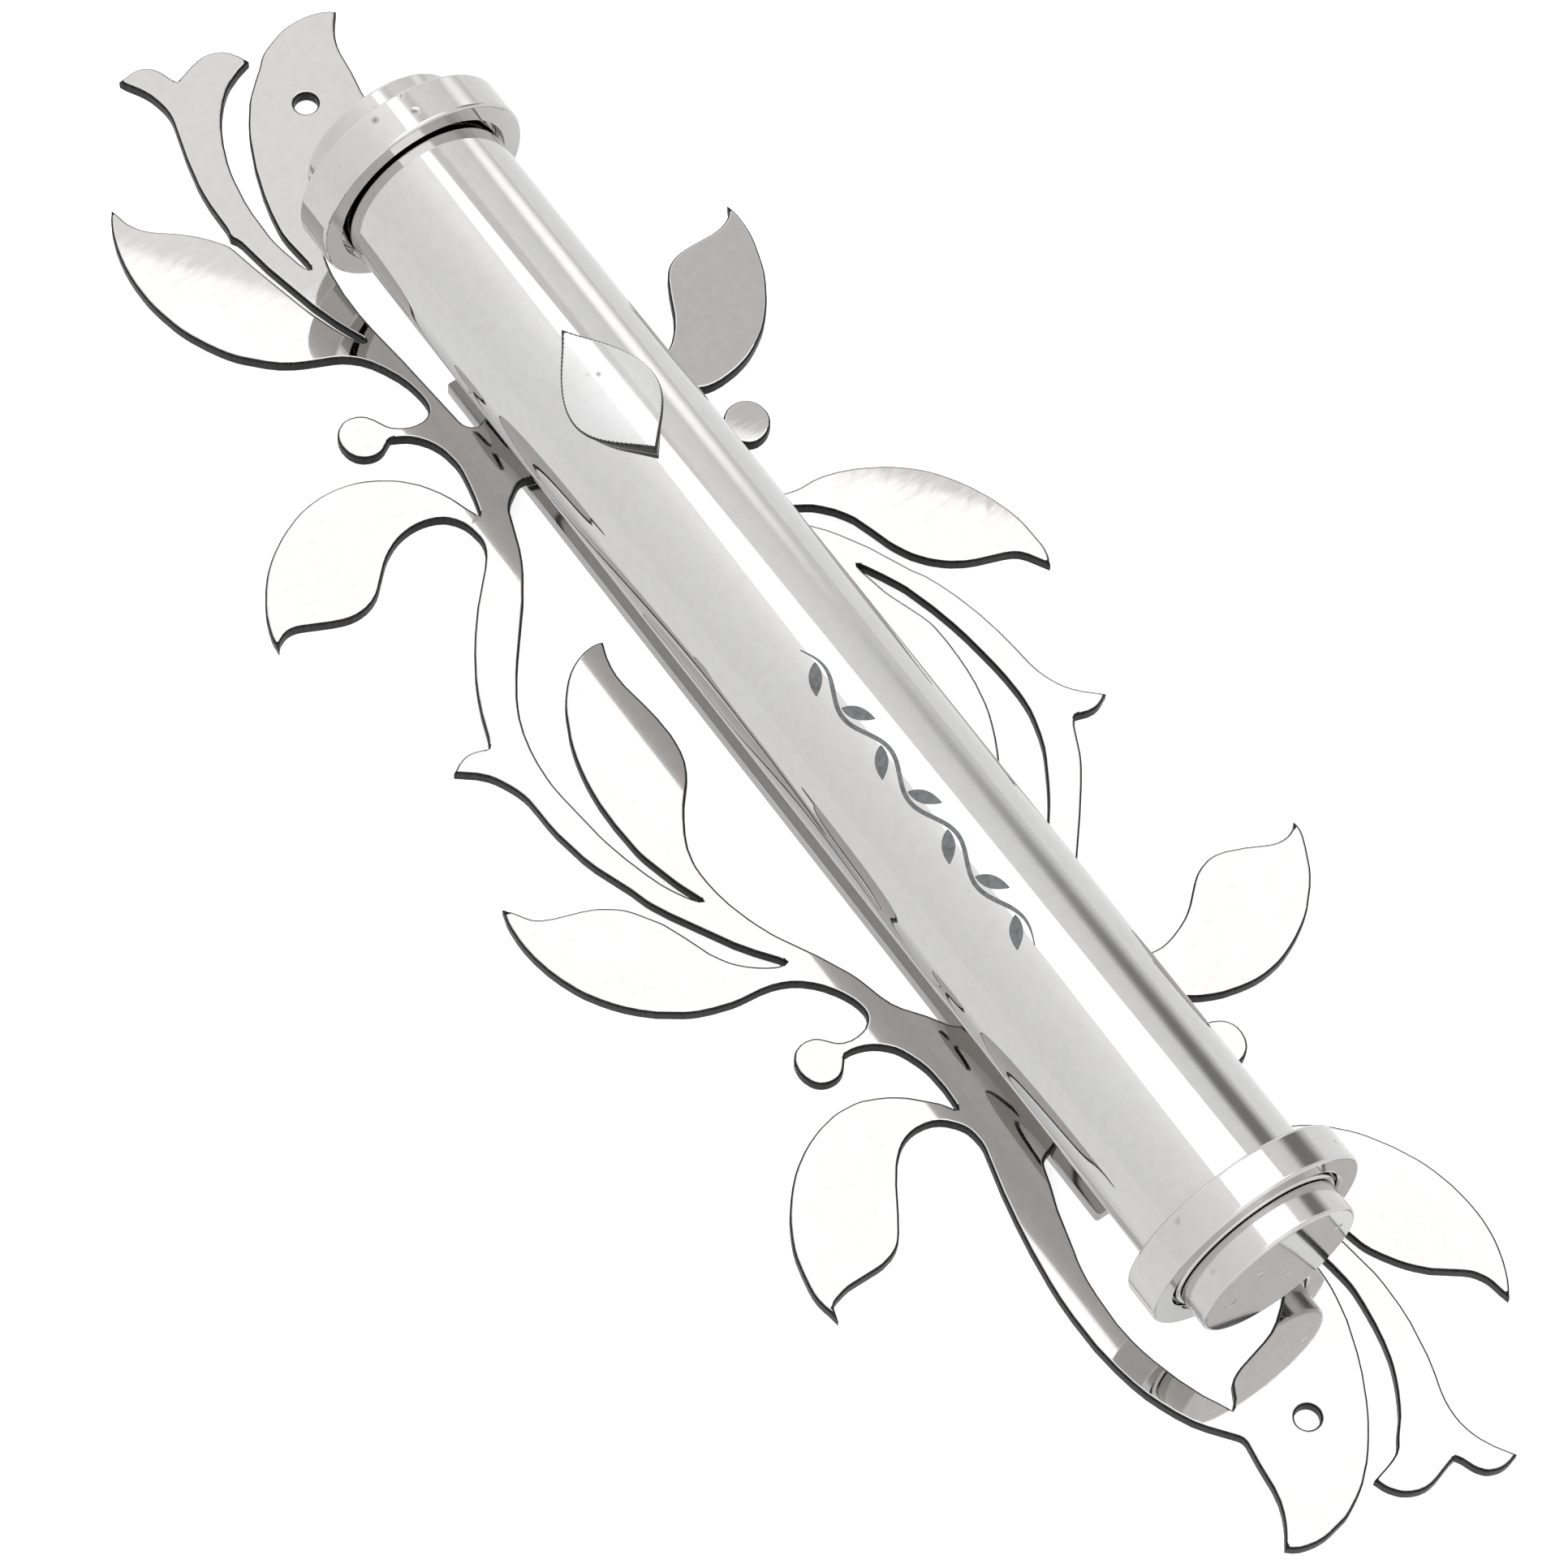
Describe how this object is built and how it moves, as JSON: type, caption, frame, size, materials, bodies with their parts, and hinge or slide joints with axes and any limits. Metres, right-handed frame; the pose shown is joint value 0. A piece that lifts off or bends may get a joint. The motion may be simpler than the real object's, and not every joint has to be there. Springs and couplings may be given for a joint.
{
  "type": "mezuzah case",
  "caption": "Wall-hung case for a rolled parchment: a round steel tube with collars and push-fit end plugs, on saddle posts over a flat leafy vine plate with a rail behind.",
  "frame": {"origin": "middle of the outer size in x and y to within 0.2 mm, at the back of the mounting rail (z = 0 is the wall plane)", "axes": "+Y up along the tube, +Z out of the wall towards the viewer, +X to the right seen from the front"},
  "size_m": [0.0743, 0.209, 0.0282],
  "materials": {
    "polished_plate": "mirror-polished flat sheet with softly rounded, buffed edges",
    "satin_rail": "flat bar, lightly brushed lengthwise",
    "polished_tube": "mirror-polished tube with very faint lengthwise draw lines",
    "polished_collar": "mirror-polished turned ring with fine pits",
    "polished_plug": "polished turned head, satin spigot",
    "seal_rubber": "plain black rubber",
    "post_steel": "turned steel, satin",
    "screw_steel": "plain machined steel",
    "sprig_steel": "cast and polished, softened edges",
    "parchment": "blank parchment, slightly fibrous"
  },
  "bodies": {
    "case": {"vine_plate": "polished_plate", "mounting_rail": "satin_rail", "scroll_tube": "polished_tube", "upper_collar": "polished_collar", "lower_collar": "polished_collar", "upper_saddle_post": "post_steel", "lower_saddle_post": "post_steel", "upper_rail_screw": "screw_steel", "lower_rail_screw": "screw_steel", "front_sprig": "sprig_steel"},
    "upper_plug": {"upper_end_plug": "polished_plug", "upper_seal_ring": "seal_rubber"},
    "lower_plug": {"lower_end_plug": "polished_plug", "lower_seal_ring": "seal_rubber"},
    "scroll": {"parchment_scroll": "parchment"}
  },
  "joints": [
    {"name": "upper_plug_slide", "type": "slide", "parent": "case", "child": "upper_plug", "axis": [0, 1, 0], "range_m": [0, 0.015]},
    {"name": "lower_plug_slide", "type": "slide", "parent": "case", "child": "lower_plug", "axis": [0, -1, 0], "range_m": [0, 0.135]},
    {"name": "scroll_slide", "type": "slide", "parent": "case", "child": "scroll", "axis": [0, -1, 0], "range_m": [0, 0.135]}
  ],
  "couplings": [
    {"joint": "scroll_slide", "follows": "lower_plug_slide", "ratio": 1}
  ]
}
